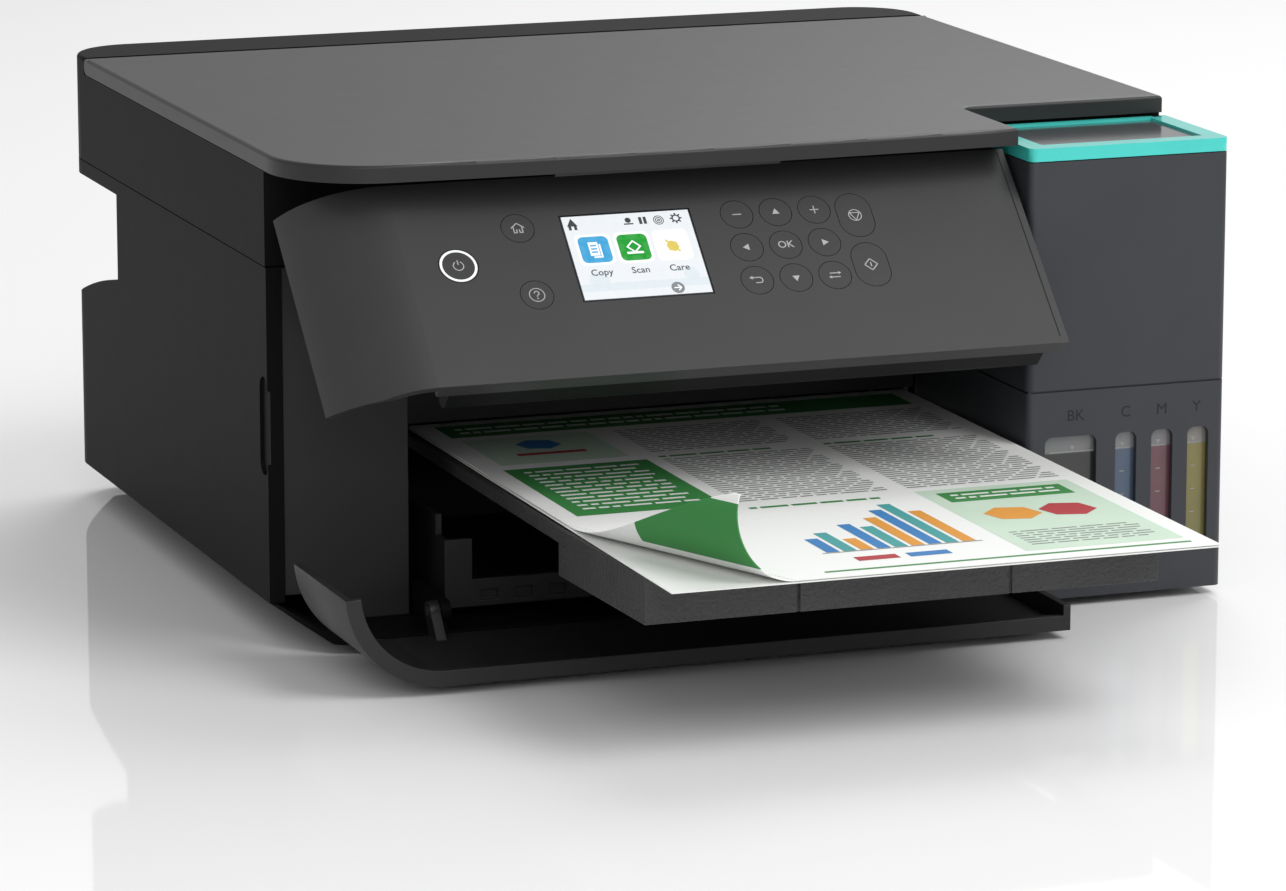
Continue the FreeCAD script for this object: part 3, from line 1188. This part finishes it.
def motor_pinion():
    centre = pinion_centre()
    toothed = gear(centre, PINION_TEETH, meshed(feed_centre(), FEED_TEETH, 0, centre, PINION_TEETH))
    return less(toothed, rod_x(GEAR_LEFT - WALL, GEAR_RIGHT + WALL, centre.y, centre.z, MOTOR_SHAFT + FIT))


def pulley_places():
    return (FRAME_IN_LEFT + PULLEY_INSET, FRAME_IN_RIGHT - PULLEY_INSET)


def print_frame():
    sides = [
        box(FRAME_LEFT, FRAME_IN_LEFT, FRAME_FRONT, FRAME_REAR, PLATE_TOP, FRAME_HIGH),
        box(FRAME_IN_RIGHT, FRAME_RIGHT, FRAME_FRONT, FRAME_REAR, PLATE_TOP, FRAME_HIGH)]
    cross = box(
        FRAME_LEFT, FRAME_RIGHT, FRAME_CROSS, FRAME_CROSS + FRAME_THICK, FRAME_CROSS_LOW, FRAME_HIGH)
    ledge_top = TRAY_PLATE - EASE
    ledges = [
        box(FRAME_LEFT, TRAY_LEFT + LEDGE_LAP, LEDGE_FRONT, FRAME_REAR, ledge_top - LEDGE_THICK, ledge_top),
        box(TRAY_RIGHT - LEDGE_LAP, FRAME_RIGHT, LEDGE_FRONT, FRAME_REAR, ledge_top - LEDGE_THICK, ledge_top)]
    for x0, x1 in ((FRAME_LEFT, FRAME_IN_LEFT + LEDGE_LAP * 2), (FRAME_IN_RIGHT - LEDGE_LAP * 2, FRAME_RIGHT)):
        ledges.append(box(
            x0, x1, PLATEN_FRONT + LEDGE_LAP, PLATEN_REAR - LEDGE_LAP, FRAME_CROSS_LOW, PLATEN_LOW))
    idler = idler_centre()
    stub = rod_x(GEAR_LEFT, FRAME_IN_LEFT, idler.y, idler.z, STUB_RADIUS)
    pulley_stub = rod_y(BELT_Y, FRAME_CROSS + FRAME_THICK, pulley_places()[0], PULLEY_Z, STUB_RADIUS - TOUCH_ROOM)
    frame = join(sides[0], sides[1], cross, stub, pulley_stub, *ledges)
    motor_x = pulley_places()[1]
    return less(
        frame, rod_x(FRAME_LEFT - WALL, FRAME_RIGHT + WALL, FEED_Y, FEED_Z, SHAFT_RADIUS + FIT),
        rod_x(FRAME_LEFT - WALL, FRAME_RIGHT + WALL, EJECT_Y, EJECT_Z, SHAFT_RADIUS + FIT),
        rod_y(FRAME_CROSS - WALL, FRAME_CROSS + WALL * 2, motor_x, PULLEY_Z, MOTOR_SHAFT + EASE))


def drive_motors():
    pinion = pinion_centre()
    feed = join(
        rod_x(FRAME_LEFT - MOTOR_LENGTH, FRAME_LEFT, pinion.y, pinion.z, MOTOR_RADIUS),
        rod_x(GEAR_LEFT, FRAME_LEFT, pinion.y, pinion.z, MOTOR_SHAFT))
    x = pulley_places()[1]
    back = FRAME_CROSS + FRAME_THICK
    carriage = join(
        rod_y(back, back + MOTOR_LENGTH, x, PULLEY_Z, MOTOR_RADIUS),
        rod_y(BELT_Y, back, x, PULLEY_Z, MOTOR_SHAFT))
    return Part.makeCompound([feed, carriage])


def pulley(x, bore):
    wheel = rod_y(BELT_Y, BELT_Y + BELT_WIDE, x, PULLEY_Z, PULLEY_RADIUS - FIT)
    flange = rod_y(BELT_Y + BELT_WIDE + EASE, BELT_Y + BELT_WIDE + EASE * 4, x, PULLEY_Z, PULLEY_RADIUS + BELT_THICK * 2)
    neck = rod_y(BELT_Y + BELT_WIDE, BELT_Y + BELT_WIDE + EASE, x, PULLEY_Z, PULLEY_RADIUS - BELT_THICK)
    wheel = join(wheel, neck, flange)
    return less(wheel, rod_y(BELT_Y - WALL, FRAME_CROSS, x, PULLEY_Z, bore + FIT))


def idler_pulley():
    return pulley(pulley_places()[0], STUB_RADIUS - TOUCH_ROOM)


def drive_pulley():
    return pulley(pulley_places()[1], MOTOR_SHAFT)


def carriage_belt():
    left, right = pulley_places()
    outer = PULLEY_RADIUS + BELT_THICK
    band = join(
        box(left, right, BELT_Y, BELT_Y + BELT_WIDE, PULLEY_Z - outer, PULLEY_Z + outer),
        rod_y(BELT_Y, BELT_Y + BELT_WIDE, left, PULLEY_Z, outer), rod_y(BELT_Y, BELT_Y + BELT_WIDE, right, PULLEY_Z, outer))
    return less(
        band, box(left, right, BELT_Y - WALL, BELT_Y + BELT_WIDE * 2, PULLEY_Z - PULLEY_RADIUS, PULLEY_Z + PULLEY_RADIUS),
        rod_y(BELT_Y - WALL, BELT_Y + BELT_WIDE * 2, left, PULLEY_Z, PULLEY_RADIUS),
        rod_y(BELT_Y - WALL, BELT_Y + BELT_WIDE * 2, right, PULLEY_Z, PULLEY_RADIUS))


def carriage_shaft():
    return rod_x(FRAME_IN_LEFT, FRAME_IN_RIGHT, CARRIAGE_SHAFT_Y, CARRIAGE_SHAFT_Z, CARRIAGE_SHAFT_RADIUS)


def print_carriage():
    right = FRAME_IN_RIGHT - CARRIAGE_PARK
    left = right - CARRIAGE_WIDTH
    body = box(left, right, CARRIAGE_FRONT, CARRIAGE_REAR, CARRIAGE_LOW, CARRIAGE_HIGH)
    step = box(
        left - WALL, right + WALL, CARRIAGE_FRONT - WALL, CARRIAGE_FRONT + HEAD_STEP,
        (CARRIAGE_LOW + CARRIAGE_HIGH) / 2, CARRIAGE_HIGH + WALL)
    hook = box(
        left + CARRIAGE_WIDTH / 3, right - CARRIAGE_WIDTH / 3, CARRIAGE_REAR, BELT_Y - EASE,
        PULLEY_Z + PULLEY_RADIUS - BELT_THICK, PULLEY_Z + PULLEY_RADIUS + BELT_THICK * 2)
    relief = box(
        left - WALL, right + WALL, FEED_Y - FEED_RADIUS - WALL, CARRIAGE_REAR + WALL,
        CARRIAGE_LOW - WALL, FEED_Z + FEED_RADIUS + TOUCH_ROOM)
    return less(
        join(less(body, step, relief), hook),
        rod_x(left - WALL, right + WALL, CARRIAGE_SHAFT_Y, CARRIAGE_SHAFT_Z, CARRIAGE_SHAFT_RADIUS + FIT))


def platen():
    left = FRAME_IN_LEFT + EASE
    right = FRAME_IN_RIGHT - EASE
    top = PLATEN_LOW + PLATEN_THICK
    plate = box(left, right, PLATEN_FRONT, PLATEN_REAR, PLATEN_LOW, top)
    step = (right - left) / (PLATEN_RIBS + 1)
    ribs = [
        box(left + step * i, left + step * i + WALL, PLATEN_FRONT, PLATEN_REAR, top, top + PLATEN_RIB_HIGH)
        for i in range(1, PLATEN_RIBS + 1)]
    return join(plate, *ribs)


def maintenance_box():
    shape = box(SUPPLY_LEFT, SUPPLY_RIGHT, MAINTENANCE_FRONT, MAINTENANCE_REAR, PLATE_TOP, MAINTENANCE_HIGH)
    return rounded(shape, WALL, lambda edge: runs_along(edge, ALONG_Z))


def power_supply():
    case = box(SUPPLY_LEFT, SUPPLY_RIGHT, SUPPLY_FRONT, SUPPLY_REAR, PLATE_TOP, SUPPLY_HIGH)
    face = CASE_DEPTH - EASE
    inlet = box(SUPPLY_LEFT, SUPPLY_LEFT + INLET_WIDTH, SUPPLY_REAR, face, INLET_LOW, INLET_LOW + INLET_HIGH)
    x = SUPPLY_LEFT + INLET_WIDTH / 2
    z = INLET_LOW + INLET_HIGH / 2
    lobe = (INLET_WIDTH - SOCKET_WALL * 2) / 4
    well = join(
        rod_y(SUPPLY_REAR + SOCKET_WALL, CASE_DEPTH, x - lobe, z, lobe * 1.2),
        rod_y(SUPPLY_REAR + SOCKET_WALL, CASE_DEPTH, x + lobe, z, lobe * 1.2))
    contacts = [
        rod_y(SUPPLY_REAR, face - SOCKET_WALL, x + side * lobe, z, SOCKET_WALL * 0.8) for side in (-1, 1)]
    return join(less(join(case, inlet), well), *contacts)


def main_board():
    board = box(
        REAR_POST_LEFT, REAR_POST_RIGHT + REAR_POST_WIDTH, REAR_POST_FRONT - MAIN_BOARD_THICK, REAR_POST_FRONT,
        MAIN_BOARD_LOW, MAIN_BOARD_HIGH)
    face = CASE_DEPTH - EASE
    socket = box(USB_LEFT, USB_LEFT + USB_WIDTH, REAR_POST_FRONT, face, USB_LOW, USB_LOW + USB_HIGH)
    well = box(
        USB_LEFT + SOCKET_WALL, USB_LEFT + USB_WIDTH - SOCKET_WALL, REAR_POST_FRONT + SOCKET_WALL, CASE_DEPTH,
        USB_LOW + SOCKET_WALL, USB_LOW + USB_HIGH - SOCKET_WALL)
    return join(board, less(socket, well))


def case_screws():
    shapes = []
    head_front = CASE_DEPTH - SCREW_HEAD_DEEP
    for x, z in screw_places():
        shapes.append(join(
            rod_y(head_front, CASE_DEPTH, x, z, SCREW_HEAD),
            rod_y(head_front - SCREW_LENGTH, head_front, x, z, SCREW_SHANK)))
    return Part.makeCompound(shapes)


def pieces():
    shell = case_shell()
    made = {
        "base_frame": base_frame(), "left_side_cover": left_side_cover(shell),
        "right_side_cover": right_side_cover(shell), "rear_cover": rear_cover(shell), "front_frame": front_frame(),
        "feet": feet(), "case_screws": case_screws(), "hinge_pins": hinge_pins(), "tank_housing": tank_housing(),
        "tank_caps": tank_caps(), "tank_cover": tank_cover(), "tank_cover_plate": tank_cover_plate(),
        "print_frame": print_frame(), "platen": platen(), "carriage_shaft": carriage_shaft(),
        "print_carriage": print_carriage(), "carriage_belt": carriage_belt(), "drive_pulley": drive_pulley(),
        "idler_pulley": idler_pulley(), "drive_motors": drive_motors(), "feed_roller": feed_roller(),
        "eject_roller": eject_roller(), "idler_gear": idler_gear(), "motor_pinion": motor_pinion(),
        "maintenance_box": maintenance_box(), "power_supply": power_supply(), "main_board": main_board(),
        "paper_cassette": paper_cassette(), "edge_guide_left": edge_guide_left(),
        "edge_guide_right": edge_guide_right(), "output_tray": output_tray(), "printed_sheets": printed_sheets(),
        "front_cover": front_cover(), "control_panel_front": control_panel_front(),
        "control_panel_back": control_panel_back(), "panel_board": panel_board(), "lcd_display": lcd_display(),
        "scanner_base": scanner_base(), "scanner_glass": scanner_glass(), "scan_carriage": scan_carriage(),
        "lid": lid(), "lid_pad": lid_pad()}
    for colour in TANK_WIDTHS:
        made["ink_tank_" + colour] = ink_tank(colour)
    for name in key_places():
        made[name] = key(name)
    return made


def main():
    os.makedirs("parts", exist_ok=True)
    for name, shape in pieces().items():
        shape.translate(Vec(-ORIGIN_X, -ORIGIN_Y, 0))
        shape.exportStep("parts/" + name + ".step")
        print(name, len(shape.Solids), "solids", round(shape.Volume, 1), "mm3", "valid" if shape.isValid() else "NOT VALID")


main()
